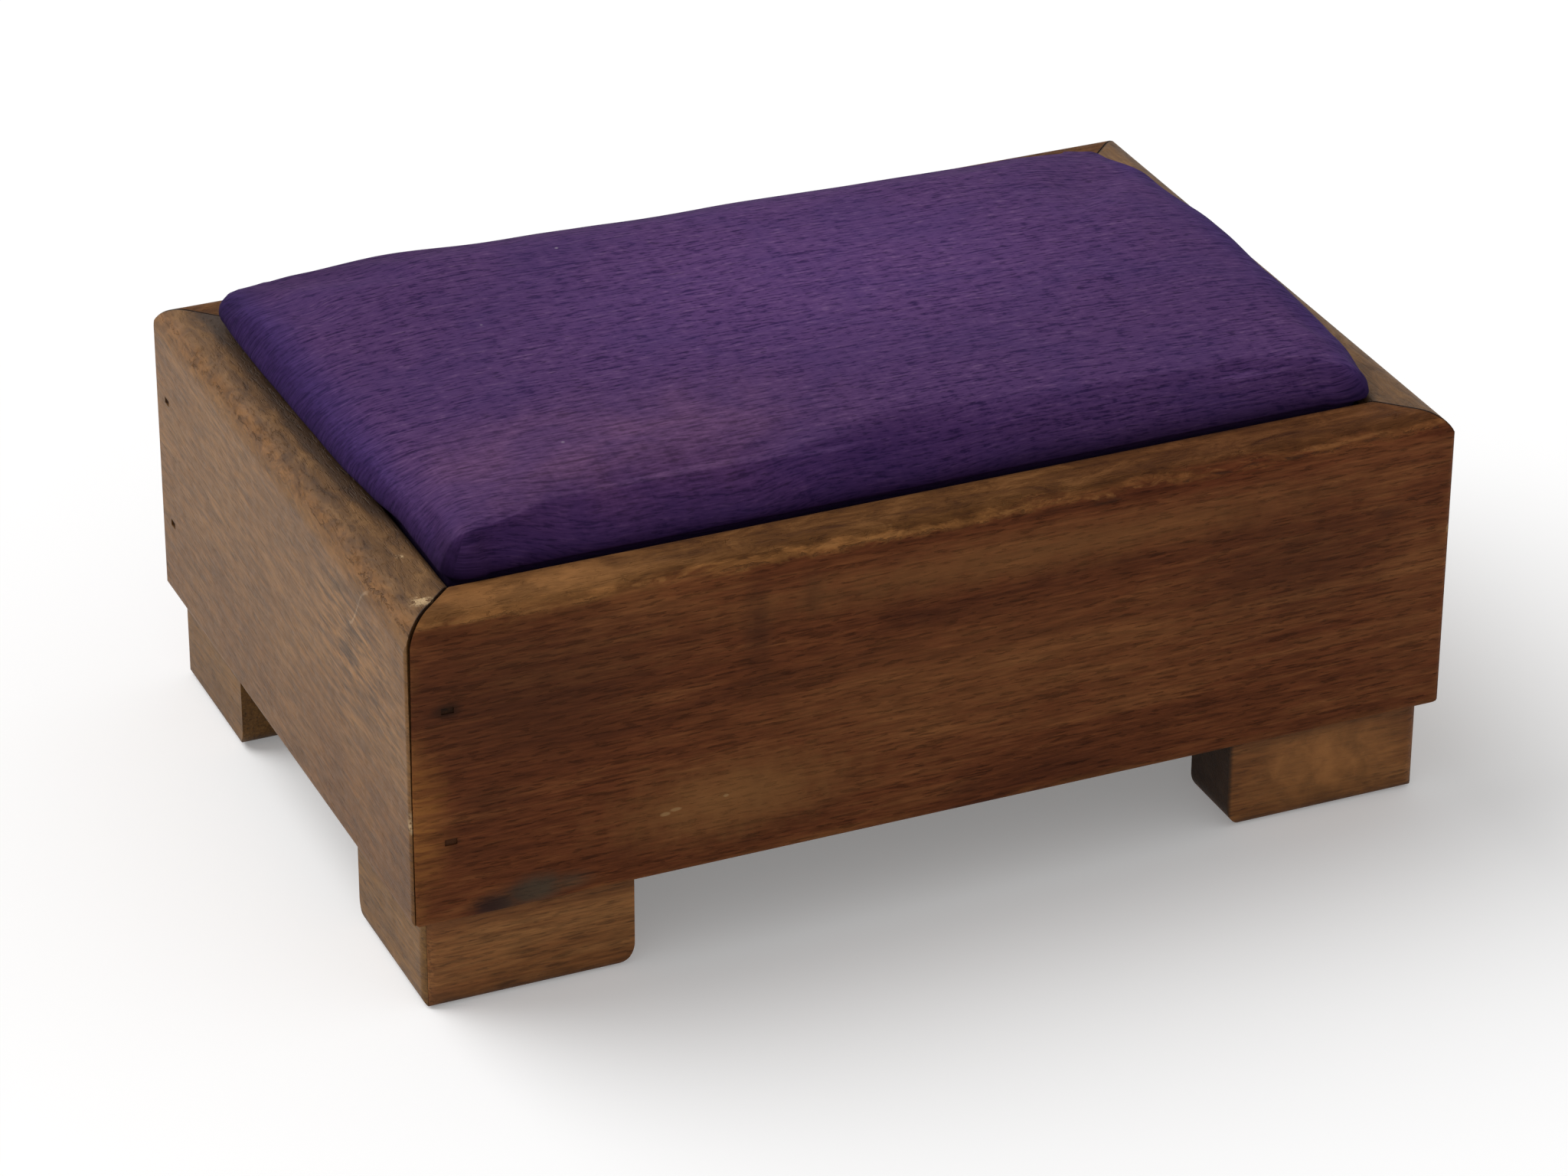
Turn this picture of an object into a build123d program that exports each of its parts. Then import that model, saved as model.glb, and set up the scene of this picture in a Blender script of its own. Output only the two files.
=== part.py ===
from build123d import *
import os
from math import cos, pi, sin, sqrt

# Footstool: a box of four mitred boards on bracket feet, with a padded seat that drops in from above.
# Millimetres. The origin is at the centre of the footprint on the floor, +X along the length, front at -Y.

# Box of mitred rails
length = 350.0
depth = 238.0
rail_height = 103.5
rail_thickness = 22.0
rail_top_round = 9.0
rail_inner_ease = 3.5
rail_bottom_round = 3.0
rail_end_round = 4.5
corner_round = 2.5
mitre_gap = 0.4
open_mitre_width = 0.9
open_mitre_drop = 75.0

# Bracket feet, two mitred blocks at each corner
foot_height = 32.0
foot_inset = 4.5
foot_stock = 25.0
foot_long_leg = 68.5
foot_short_leg = 58.5
foot_mitre_gap = 0.1
foot_end_round = 8.0
foot_heel_round = 3.5
foot_edge_round = 3.5
foot_corner_round = 4.5

# Glue blocks in the corners and the cleats that carry the seat
block_leg = 36.0
cleat_width = 14.0
cleat_height = 18.0
cleat_end_gap = 0.3

# Drop-in seat
seat_clearance = 1.0
seat_rest_gap = 0.3
board_thickness = 9.0
board_recess = 5.0
board_fit = 0.1
fabric = 1.2
fabric_turn_under = 24.0
padding_fit = 0.2

# Form of the stuffed pad above the rails: heights over the rails, insets from the seat's edge
seat_corner_round = 9.0
edge_bow = 0.3
pad_lift = 0.6
bulge_height = 5.0
bulge_out = 0.6
bulge_bow_ends = 6.5
bulge_bow_sides = 1.5
roll_height = 13.0
roll_depth = 11.0
roll_steps = 4
crown_height = 17.0
crown_half_width = 26.0
crown_corner_round = 16.0
crown_steps = 3

# Cut nails and tacks
nail_shank = 2.2
nail_head = 4.0
nail_head_thickness = 1.2
nail_taper = 0.8
nail_sunk = 0.5
mitre_nail_length = 40.0
mitre_nail_from_corner = 12.5
mitre_nail_heights = (28.5, 73.5)
foot_nail_length = 50.0
foot_nail_shares = (0.5, 0.85)
cleat_nail_length = 28.0
cleat_nail_pitch = 110.0
tack_head_radius = 2.5
tack_head_thickness = 0.9
tack_shank = 1.5
tack_length = 7.0
tack_inset = 19.0
tack_pitch = 42.0

# Levels that follow from the sizes above
rail_bottom = foot_height
rail_top = rail_bottom + rail_height
board_top = rail_top - board_recess
board_bottom = board_top - board_thickness
cover_bottom = board_bottom - fabric
cleat_top = cover_bottom - seat_rest_gap
cleat_bottom = cleat_top - cleat_height
seat_half_x = length / 2 - rail_thickness - seat_clearance
seat_half_y = depth / 2 - rail_thickness - seat_clearance
crown_inset = seat_half_y - crown_half_width
mitre_set_back = mitre_gap / sqrt(2)
foot_set_back = foot_mitre_gap / sqrt(2)


class Side:
    """One side of the box: x runs along it, y goes inward from its outer face, z is up."""

    def __init__(self, name, origin, along, run, across, foot_leg, corners):
        self.name = name
        self.run = run
        self.across = across
        self.foot_leg = foot_leg
        self.corners = corners
        self.plan = Plane(origin=origin, x_dir=along, z_dir=(0, 0, 1))
        self.section = Plane(origin=origin, x_dir=self.plan.y_dir, z_dir=self.plan.x_dir)
        self.elevation = Plane(origin=origin, x_dir=self.plan.x_dir, z_dir=-self.plan.y_dir)

    def at(self, along, inward, up):
        return self.plan.from_local_coords((along, inward, up))


# Each side starts at the corner on its left, seen from outside
front = Side("front", (0, -depth / 2, 0), (1, 0, 0), length, depth, foot_long_leg, ("front_left", "front_right"))
right = Side("right", (length / 2, 0, 0), (0, 1, 0), depth, length, foot_short_leg, ("front_right", "back_right"))
back = Side("back", (0, depth / 2, 0), (-1, 0, 0), length, depth, foot_long_leg, ("back_right", "back_left"))
left = Side("left", (-length / 2, 0, 0), (0, -1, 0), depth, length, foot_short_leg, ("back_left", "front_left"))
sides = (front, right, back, left)
long_sides = (front, back)


def cut_nail(nail_length, pit=0.0):
    """A square cut nail along +Z from the top of its head; pit lengthens the head's hole to the surface."""
    with BuildPart() as nail:
        with BuildSketch(Plane.XY.offset(-pit)):
            Rectangle(nail_head, nail_shank)
        extrude(amount=nail_head_thickness + pit)
        with BuildSketch(Plane.XY):
            Rectangle(nail_shank, nail_shank)
        extrude(amount=nail_length, taper=nail_taper)
    return nail.part


def mitre_nail_places():
    """Two nails at the start of each side, driven inward into the end of the next board."""
    for side in sides:
        along = -side.run / 2 + mitre_nail_from_corner
        for height in mitre_nail_heights:
            place = side.at(along, nail_sunk, rail_bottom + height)
            yield Plane(origin=place, x_dir=side.plan.x_dir, z_dir=side.plan.y_dir)


def foot_nail_places():
    """Two nails through each foot block, up into the board above it."""
    inward = (foot_inset + rail_thickness) / 2
    for side in sides:
        for end in (-1, 1):
            for share in foot_nail_shares:
                along = end * (side.run / 2 - foot_inset - share * side.foot_leg)
                place = side.at(along, inward, nail_sunk)
                yield Plane(origin=place, x_dir=side.plan.x_dir, z_dir=(0, 0, 1))


def cleat_run(side):
    """The short cleats fit between the long ones."""
    between = 0.0 if side in long_sides else 2 * cleat_width
    return side.run - 2 * rail_thickness - between - 2 * cleat_end_gap


def cleat_nail_places():
    """Nails through each cleat into its board, evenly spaced."""
    for side in sides:
        run = cleat_run(side)
        count = max(2, round(run / cleat_nail_pitch))
        for i in range(count):
            along = run * ((i + 0.5) / count - 0.5)
            place = side.at(along, rail_thickness + cleat_width, (cleat_bottom + cleat_top) / 2)
            yield Plane(origin=place, x_dir=side.plan.x_dir, z_dir=-side.plan.y_dir)


def save(part, name):
    part.label = name
    export_step(part, f"parts/{name}.step")


os.makedirs("parts", exist_ok=True)

# Nails: each kind is one node
with BuildPart() as mitre_nails:
    with Locations(*mitre_nail_places()):
        add(cut_nail(mitre_nail_length))
save(mitre_nails.part, "mitre_nails")

with BuildPart() as foot_nails:
    with Locations(*foot_nail_places()):
        add(cut_nail(foot_nail_length))
save(foot_nails.part, "foot_nails")

with BuildPart() as cleat_nails:
    with Locations(*cleat_nail_places()):
        add(cut_nail(cleat_nail_length))
save(cleat_nails.part, "cleat_nails")

# The holes that the nails leave in the boards, with the pits over the sunk heads
with BuildPart() as nail_holes:
    with Locations(*mitre_nail_places()):
        add(cut_nail(mitre_nail_length, pit=nail_sunk))
    with Locations(*foot_nail_places()):
        add(cut_nail(foot_nail_length, pit=nail_sunk))
    with Locations(*cleat_nail_places()):
        add(cut_nail(cleat_nail_length))


def open_mitre_cut(side):
    """Wedge on the start of a side, where its mitre has opened towards the top."""
    corner = side.at(-side.run / 2, 0, 0)
    into_board = side.plan.x_dir - side.plan.y_dir
    down_the_mitre = -(side.plan.x_dir + side.plan.y_dir)
    return Plane(origin=corner, x_dir=into_board, z_dir=down_the_mitre)


# Rails: one moulded profile, mitred at both ends
for side in sides:
    with BuildPart() as rail:
        with BuildSketch(side.section) as profile:
            with Locations((rail_thickness / 2, rail_bottom + rail_height / 2)):
                Rectangle(rail_thickness, rail_height)
            fillet(profile.vertices().group_by(Axis.Y)[-1].sort_by(Axis.X)[-1], rail_inner_ease)
            fillet(profile.vertices().sort_by(Axis.X)[:2].sort_by(Axis.Y)[0], rail_bottom_round)
            fillet(profile.vertices().group_by(Axis.Y)[-1].sort_by(Axis.X)[0], rail_top_round)
        extrude(amount=side.run / 2, both=True)
        with BuildSketch(side.elevation) as outline:
            with Locations((0, rail_bottom + rail_height / 2)):
                Rectangle(side.run, rail_height)
            fillet(outline.vertices().group_by(Axis.Y)[0], rail_end_round)
        extrude(amount=-rail_thickness, mode=Mode.INTERSECT)
        outer = side.run / 2 - mitre_set_back
        inner = outer - rail_thickness
        with BuildSketch(side.plan):
            Polygon(
                (-outer, 0), (outer, 0), (inner, rail_thickness), (-inner, rail_thickness), align=None
            )
            with Locations((0, side.across / 2)):
                RectangleRounded(side.run, side.across, corner_round, mode=Mode.INTERSECT)
        extrude(amount=rail_top, mode=Mode.INTERSECT)
        if side is front:
            with BuildSketch(open_mitre_cut(side)):
                Polygon(
                    (0, rail_top), (open_mitre_width, rail_top), (0, rail_top - open_mitre_drop), align=None
                )
            extrude(amount=2 * rail_thickness, both=True, mode=Mode.SUBTRACT)
        add(nail_holes.part, mode=Mode.SUBTRACT)
    save(rail.part, f"{side.name}_rail")

# Bracket feet: at each corner a long and a short block meet in a mitre
for side in sides:
    reach = side.run / 2 - foot_inset
    free_end = reach - side.foot_leg
    for end, corner in zip((-1, 1), side.corners):
        with BuildPart() as leg:
            with BuildSketch(side.section) as profile:
                with Locations((foot_inset + foot_stock / 2, foot_height / 2)):
                    Rectangle(foot_stock, foot_height)
                fillet(profile.vertices().group_by(Axis.Y)[0].sort_by(Axis.X)[0], foot_edge_round)
            extrude(amount=side.run / 2, both=True)
            with BuildSketch(side.elevation) as outline:
                with Locations((end * (reach + free_end) / 2, foot_height / 2)):
                    Rectangle(side.foot_leg, foot_height)
                lowest = outline.vertices().group_by(Axis.Y)[0]
                fillet(lowest.sort_by(Axis.X, reverse=end < 0)[0], foot_end_round)
                lowest = outline.vertices().group_by(Axis.Y)[0]
                fillet(lowest.sort_by(Axis.X, reverse=end > 0)[0], foot_heel_round)
            extrude(amount=-(foot_inset + foot_stock), mode=Mode.INTERSECT)
            tip = reach - foot_set_back
            with BuildSketch(side.plan):
                Polygon(
                    (end * tip, foot_inset),
                    (end * free_end, foot_inset),
                    (end * free_end, foot_inset + foot_stock),
                    (end * (tip - foot_stock), foot_inset + foot_stock),
                    align=None,
                )
                with Locations((0, side.across / 2)):
                    RectangleRounded(
                        side.run - 2 * foot_inset,
                        side.across - 2 * foot_inset,
                        foot_corner_round,
                        mode=Mode.INTERSECT,
                    )
            extrude(amount=foot_height, mode=Mode.INTERSECT)
            add(nail_holes.part, mode=Mode.SUBTRACT)
        kind = "long" if side in long_sides else "short"
        save(leg.part, f"foot_{corner}_{kind}")

# Glue blocks: triangular posts in the corners, between the feet and the cleats
for side in sides:
    x = -side.run / 2 + rail_thickness
    with BuildPart() as block:
        with BuildSketch(side.plan.offset(rail_bottom)):
            Polygon(
                (x, rail_thickness), (x + block_leg, rail_thickness), (x, rail_thickness + block_leg), align=None
            )
        extrude(amount=cleat_bottom - rail_bottom)
    save(block.part, f"corner_block_{side.corners[0]}")

# Cleats: strips along the inside of each board that the seat rests on
for side in sides:
    with BuildPart() as cleat:
        with BuildSketch(side.section):
            with Locations((rail_thickness + cleat_width / 2, (cleat_bottom + cleat_top) / 2)):
                Rectangle(cleat_width, cleat_height)
        extrude(amount=cleat_run(side) / 2, both=True)
        add(nail_holes.part, mode=Mode.SUBTRACT)
    save(cleat.part, f"{side.name}_cleat")


def pad_outline(level, inset, bow_ends, bow_sides, corner):
    """Rounded rectangle round the seat with bowed sides, on a level plane."""
    x = seat_half_x - inset
    y = seat_half_y - inset
    with BuildSketch(Plane.XY.offset(level)) as outline:
        with BuildLine():
            ThreePointArc((-x, -y), (0, -y - bow_sides), (x, -y))
            ThreePointArc((x, -y), (x + bow_ends, 0), (x, y))
            ThreePointArc((x, y), (0, y + bow_sides), (-x, y))
            ThreePointArc((-x, y), (-x - bow_ends, 0), (-x, -y))
        make_face()
        fillet(outline.vertices(), corner)
    return outline.sketch


def pad_form(skin):
    """The pad's crowned form from the board's top upwards, skin mm inside the cover's outer face."""
    edge_corner = seat_corner_round - skin
    outlines = [
        pad_outline(board_top, skin, edge_bow, edge_bow, edge_corner),
        pad_outline(rail_top + pad_lift, skin, edge_bow, edge_bow, edge_corner),
    ]

    def bulged(height, inset, corner):
        outlines.append(
            pad_outline(rail_top + height, skin + inset, bulge_bow_ends, bulge_bow_sides, corner - skin)
        )

    # The rounded edge, a quarter of an ellipse from the bulge up to the roll's top
    for step in range(roll_steps):
        turn = pi / 2 * step / roll_steps
        height = bulge_height + (roll_height - bulge_height - skin) * sin(turn)
        inset = (roll_depth + bulge_out) * (1 - cos(turn)) - bulge_out
        bulged(height, inset, seat_corner_round + (crown_corner_round - seat_corner_round) * sin(turn))

    # The crown, rising ever more gently to the middle
    for step in range(crown_steps + 1):
        share = step / crown_steps
        height = roll_height + (crown_height - roll_height) * (1 - (1 - share) ** 2) - skin
        inset = roll_depth + (crown_inset - roll_depth) * share
        bulged(height, inset, crown_corner_round)

    with BuildPart() as form:
        loft(sections=outlines, ruled=True)
    return form.part


# Tacks that hold the turned-under fabric, inboard of the cleats
tack_row_x = seat_half_x - tack_inset
tack_row_y = seat_half_y - tack_inset
tacks_along_x = round(2 * tack_row_x / tack_pitch) - 1
tacks_along_y = round(2 * tack_row_y / tack_pitch) - 1
with BuildPart() as tacks:
    with BuildSketch(Plane.XY.offset(cover_bottom)) as heads:
        with GridLocations(tack_pitch, 2 * tack_row_y, tacks_along_x, 2):
            Circle(tack_head_radius)
        with GridLocations(2 * tack_row_x, tack_pitch, 2, tacks_along_y):
            Circle(tack_head_radius)
    extrude(amount=-tack_head_thickness)
    with BuildSketch(Plane.XY.offset(cover_bottom)) as shanks:
        with GridLocations(tack_pitch, 2 * tack_row_y, tacks_along_x, 2):
            Rectangle(tack_shank, tack_shank)
        with GridLocations(2 * tack_row_x, tack_pitch, 2, tacks_along_y):
            Rectangle(tack_shank, tack_shank)
    extrude(amount=tack_length)
save(tacks.part, "cover_tacks")

# Seat board: the plywood base of the pad
with BuildPart() as board:
    with BuildSketch(Plane.XY.offset(board_bottom)):
        RectangleRounded(
            2 * (seat_half_x - fabric - board_fit),
            2 * (seat_half_y - fabric - board_fit),
            seat_corner_round - fabric,
        )
    extrude(amount=board_thickness)
    add(tacks.part, mode=Mode.SUBTRACT)
save(board.part, "seat_board")

# Stuffing on the board
padding = pad_form(fabric + padding_fit)
save(padding, "seat_padding")

# Cover: fabric over the stuffing, down the board's edge and turned under it
with BuildPart() as cover:
    add(pad_form(0.0))
    add(pad_outline(cover_bottom, 0.0, edge_bow, edge_bow, seat_corner_round))
    extrude(amount=board_top - cover_bottom)
    add(pad_form(fabric), mode=Mode.SUBTRACT)
    with BuildSketch(Plane.XY.offset(board_bottom)) as hollow:
        add(pad_outline(0.0, fabric, edge_bow, edge_bow, seat_corner_round - fabric))
    extrude(amount=board_thickness, mode=Mode.SUBTRACT)
    with BuildSketch(Plane.XY.offset(cover_bottom)) as window:
        RectangleRounded(
            2 * (seat_half_x - fabric_turn_under), 2 * (seat_half_y - fabric_turn_under), seat_corner_round
        )
    extrude(amount=fabric, mode=Mode.SUBTRACT)
    add(tacks.part, mode=Mode.SUBTRACT)
save(cover.part, "seat_cover")
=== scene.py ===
from math import cos, pi, sin

import bpy
import numpy as np
from mathutils import Matrix, Vector, noise


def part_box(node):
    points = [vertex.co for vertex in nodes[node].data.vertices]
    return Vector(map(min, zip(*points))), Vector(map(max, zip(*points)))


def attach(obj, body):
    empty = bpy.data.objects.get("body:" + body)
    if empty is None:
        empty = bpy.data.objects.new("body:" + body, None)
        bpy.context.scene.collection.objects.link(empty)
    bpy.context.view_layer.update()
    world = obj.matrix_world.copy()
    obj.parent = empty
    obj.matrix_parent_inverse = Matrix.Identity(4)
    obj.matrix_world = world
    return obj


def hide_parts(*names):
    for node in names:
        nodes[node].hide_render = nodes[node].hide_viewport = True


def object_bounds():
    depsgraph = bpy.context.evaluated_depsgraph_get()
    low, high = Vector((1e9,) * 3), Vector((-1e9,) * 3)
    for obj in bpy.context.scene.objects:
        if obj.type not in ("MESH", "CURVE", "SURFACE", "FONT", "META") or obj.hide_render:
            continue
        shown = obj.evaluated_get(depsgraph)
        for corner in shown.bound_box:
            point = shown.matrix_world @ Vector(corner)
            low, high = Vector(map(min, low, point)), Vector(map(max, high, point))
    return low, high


# Footstool in metres, in the frame of the solids: +X along the length, front at -Y, +Z up.
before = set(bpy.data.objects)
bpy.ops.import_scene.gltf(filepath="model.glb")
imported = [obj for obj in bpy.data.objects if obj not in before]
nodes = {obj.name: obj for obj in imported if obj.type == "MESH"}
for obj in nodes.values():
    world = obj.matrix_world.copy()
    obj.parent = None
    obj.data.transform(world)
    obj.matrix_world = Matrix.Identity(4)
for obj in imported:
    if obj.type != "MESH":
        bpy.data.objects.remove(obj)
cad_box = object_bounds()

# Sizes taken from the solids
front_low, front_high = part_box("front_rail")
left_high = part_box("left_rail")[1]
pad_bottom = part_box("seat_cover")[0].z
rail_bottom = front_low.z
rail_top = front_high.z
half_length = cad_box[1][0]
half_depth = cad_box[1][1]
inner_x = -left_high.x
inner_y = -front_high.y
rail_thickness = half_depth - inner_y
seat_gap = 0.0012
edge_x = inner_x - seat_gap
edge_y = inner_y - seat_gap


class Graph:
    """Node tree of a material, written as expressions on the position in the frame."""

    def __init__(self, name):
        self.material = bpy.data.materials.new(name)
        self.material.use_nodes = True
        self.tree = self.material.node_tree
        self.tree.nodes.clear()
        output = self.add("ShaderNodeOutputMaterial")
        self.shader = self.add("ShaderNodeBsdfPrincipled")
        self.tree.links.new(self.shader.outputs[0], output.inputs["Surface"])
        self.position = self.add("ShaderNodeTexCoord").outputs["Object"]
        split = self.add("ShaderNodeSeparateXYZ")
        self.feed(split.inputs[0], self.position)
        self.x, self.y, self.z = split.outputs

    def add(self, kind, **settings):
        node = self.tree.nodes.new(kind)
        for key, value in settings.items():
            setattr(node, key, value)
        return node

    def feed(self, socket, value):
        if isinstance(value, bpy.types.NodeSocket):
            self.tree.links.new(value, socket)
        else:
            socket.default_value = value

    def math(self, operation, *values):
        node = self.add("ShaderNodeMath", operation=operation)
        for socket, value in zip(node.inputs, values):
            self.feed(socket, value)
        return node.outputs[0]

    def plus(self, *values):
        total = values[0]
        for value in values[1:]:
            total = self.math("ADD", total, value)
        return total

    def minus(self, first, second):
        return self.math("SUBTRACT", first, second)

    def times(self, *values):
        total = values[0]
        for value in values[1:]:
            total = self.math("MULTIPLY", total, value)
        return total

    def most(self, *values):
        total = values[0]
        for value in values[1:]:
            total = self.math("MAXIMUM", total, value)
        return total

    def size(self, value):
        """The value without its sign."""
        return self.math("ABSOLUTE", value)

    def stirred(self, value, stir, amount):
        """The value, moved up or down by a noise times the amount."""
        return self.plus(value, self.times(self.plus(stir, -0.5), amount))

    def band(self, value, start, end, low=0.0, high=1.0):
        """Goes smoothly from low to high as the value goes from start to end."""
        node = self.add("ShaderNodeMapRange", interpolation_type="SMOOTHSTEP")
        for socket, item in zip(node.inputs, (value, start, end, low, high)):
            self.feed(socket, item)
        return node.outputs[0]

    def mapped(self, scale, shift=(0, 0, 0), turn=(0, 0, 0), vector=None):
        node = self.add("ShaderNodeMapping")
        self.feed(node.inputs["Vector"], vector or self.position)
        node.inputs["Location"].default_value = shift
        node.inputs["Rotation"].default_value = turn
        node.inputs["Scale"].default_value = scale
        return node.outputs[0]

    def noise(
        self, scale, detail=3.0, rough=0.5, warp=0.0, shift=(0, 0, 0), turn=(0, 0, 0), vector=None
    ):
        node = self.add("ShaderNodeTexNoise")
        self.feed(node.inputs["Vector"], self.mapped(scale, shift, turn, vector))
        node.inputs["Scale"].default_value = 1.0
        node.inputs["Detail"].default_value = detail
        node.inputs["Roughness"].default_value = rough
        node.inputs["Distortion"].default_value = warp
        return node.outputs["Fac"]

    def cells(self, scale):
        """Distance from the nearest cell point, and the cell's random colour."""
        node = self.add("ShaderNodeTexVoronoi")
        self.feed(node.inputs["Vector"], self.mapped(scale))
        node.inputs["Scale"].default_value = 1.0
        return node.outputs["Distance"], node.outputs["Color"]

    def spot(self, centre, radii, soft=0.9, wobble=0.0):
        """1 in the middle of a place on the surface, fading to 0 at its radii."""
        shift = [-c / r for c, r in zip(centre, radii)]
        node = self.add("ShaderNodeVectorMath", operation="LENGTH")
        self.feed(node.inputs[0], self.mapped([1 / r for r in radii], shift))
        distance = node.outputs["Value"]
        if wobble:
            shift = (centre[0] * 90, 3.1, centre[2] * 70)
            ragged = self.noise((160, 160, 160), 3, 0.6, shift=shift)
            distance = self.stirred(distance, ragged, wobble)
        return self.band(distance, 1.0, 1.0 - soft)

    def mix(self, factor, first, second, mode="MIX"):
        node = self.add("ShaderNodeMix", data_type="RGBA", blend_type=mode)
        for place, value in ((0, factor), (6, first), (7, second)):
            if isinstance(value, tuple) and len(value) == 3:
                value = (*value, 1.0)
            self.feed(node.inputs[place], value)
        return node.outputs[2]

    def shade(self, colour, factor):
        """The colour times a number."""
        node = self.add("ShaderNodeVectorMath", operation="SCALE")
        self.feed(node.inputs[0], colour)
        self.feed(node.inputs["Scale"], factor)
        return node.outputs[0]

    def ramp(self, factor, *stops):
        node = self.add("ShaderNodeValToRGB")
        while len(node.color_ramp.elements) < len(stops):
            node.color_ramp.elements.new(0.5)
        for element, (place, colour) in zip(node.color_ramp.elements, stops):
            element.position = place
            element.color = (*colour, 1.0)
        self.feed(node.inputs[0], factor)
        return node.outputs["Color"]

    def bump(self, height, distance, strength=1.0, below=None):
        node = self.add("ShaderNodeBump")
        node.inputs["Strength"].default_value = strength
        node.inputs["Distance"].default_value = distance
        self.feed(node.inputs["Height"], height)
        if below is not None:
            self.feed(node.inputs["Normal"], below)
        return node.outputs[0]

    def finish(self, colour, rough, normal, specular):
        self.feed(self.shader.inputs["Base Color"], colour)
        self.feed(self.shader.inputs["Roughness"], rough)
        self.feed(self.shader.inputs["Normal"], normal)
        self.shader.inputs["Specular IOR Level"].default_value = specular
        return self.material


def along_grain(axis, along, across):
    """Texture scale with its own value along the grain."""
    return tuple(along if i == "XYZ".index(axis) else across for i in range(3))


def wood_figure(g, axis, seed, tones, lean=0.0):
    """Colour, relief and streaks of bare grain along one axis, which may lean a little."""
    shift = (seed * 3.7, seed * 1.9, seed * 2.3)
    grain = g.mapped((1, 1, 1), turn=(lean, 0, 0)) if lean else g.position
    bands = g.noise(along_grain(axis, 5, 60), 5, 0.62, 0.6, shift, vector=grain)
    streaks = g.noise(along_grain(axis, 24, 360), 5, 0.65, 0.3, shift, vector=grain)
    fibres = g.noise(along_grain(axis, 80, 1050), 4, 0.65, 0.0, shift, vector=grain)
    pore_shift = (seed, seed * 1.3, 4.0)
    pores = g.noise(along_grain(axis, 150, 1250), 2, 0.5, 0.2, pore_shift, vector=grain)
    pores = g.band(pores, 0.57, 0.68)
    clouds = g.noise(along_grain(axis, 11, 18), 4, 0.6, 0.4, shift)
    level = g.plus(g.times(bands, 0.60), g.times(streaks, 0.45), g.times(clouds, 0.45), -0.25)
    colour = g.ramp(level, (0.33, tones[0]), (0.50, tones[1]), (0.67, tones[2]))
    colour = g.shade(colour, g.band(fibres, 0.34, 0.66, 0.76, 1.24))
    colour = g.shade(colour, g.plus(1.0, g.times(pores, -0.36)))
    relief = g.plus(g.times(fibres, 0.6), g.times(streaks, 0.35), g.times(pores, -0.7))
    return colour, relief, streaks


# Colours: the stain is dark and red on the long boards, paler and greyer on the short ones
dark_tones = ((0.068, 0.019, 0.008), (0.122, 0.036, 0.013), (0.198, 0.073, 0.025))
pale_tones = ((0.115, 0.052, 0.016), (0.168, 0.080, 0.027), (0.222, 0.113, 0.042))
foot_tones = ((0.125, 0.043, 0.014), (0.190, 0.072, 0.022), (0.262, 0.114, 0.037))
short_foot_tones = ((0.105, 0.047, 0.011), (0.150, 0.069, 0.016), (0.200, 0.098, 0.026))
bare_tones = ((0.330, 0.200, 0.095), (0.430, 0.280, 0.145), (0.520, 0.360, 0.200))
dark_top = ((0.045, 0.017, 0.006), (0.100, 0.041, 0.012), (0.182, 0.080, 0.026))
pale_top = ((0.042, 0.019, 0.007), (0.108, 0.051, 0.017), (0.200, 0.101, 0.036))
worn_gold = (0.330, 0.142, 0.043)
worn_brown = (0.176, 0.082, 0.025)
raw_wood = (0.560, 0.390, 0.210)
# Dark tone for dirt in cracks and joints, also used as painted shade beside the seat
grime_and_shade = (0.030, 0.016, 0.010)
iron_black = (0.016, 0.008, 0.005)
iron_rust = (0.040, 0.018, 0.009)


def lower_wear(g, axis, seed):
    """Where the finish is rubbed off the corners and the lower edge."""
    patches = g.noise(along_grain(axis, 30, 85), 5, 0.68, 0.7, (seed * 2.1, 0.4, 1.3))
    corner = g.times(
        g.band(g.size(g.x), half_length - 0.006, half_length - 0.001),
        g.band(g.size(g.y), half_depth - 0.006, half_depth - 0.001),
        0.35,
    )
    foot = g.times(g.band(g.z, rail_bottom + 0.005, rail_bottom), 0.5)
    return g.times(g.most(corner, foot), g.band(patches, 0.42, 0.62))


def nail_stains(g):
    """Soft dark smudges over the mitres' sunk nails, fainter low down and on the short boards."""
    masks = []
    nail_inset = 0.0125
    long_place = half_length - nail_inset
    short_place = half_depth - nail_inset
    for height, weight, size in ((0.0285, 0.55, 0.6), (0.0735, 0.95, 1.0)):
        z = rail_bottom + height
        for end in (-1, 1):
            centre = (end * long_place, end * half_depth, z)
            smudge = g.spot(centre, (0.0062 * size, 0.006, 0.0040 * size), 0.7, 0.5)
            masks.append(g.times(smudge, weight))
            tail = (end * (long_place + 0.0032), end * half_depth, z - 0.0008)
            masks.append(g.times(g.spot(tail, (0.0060, 0.006, 0.0016), 0.9, 0.3), weight - 0.45))
            centre = (end * half_length, -end * short_place, z)
            masks.append(g.times(g.spot(centre, (0.006, 0.0034, 0.0028), 0.9, 0.6), 0.45))
    return g.most(*masks)


def from_edge(g, inset):
    """Distance across a board's rounded edge: below 0 on the face, above 0 on the top."""
    return g.minus(inset, g.minus(rail_top, g.z))


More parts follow.
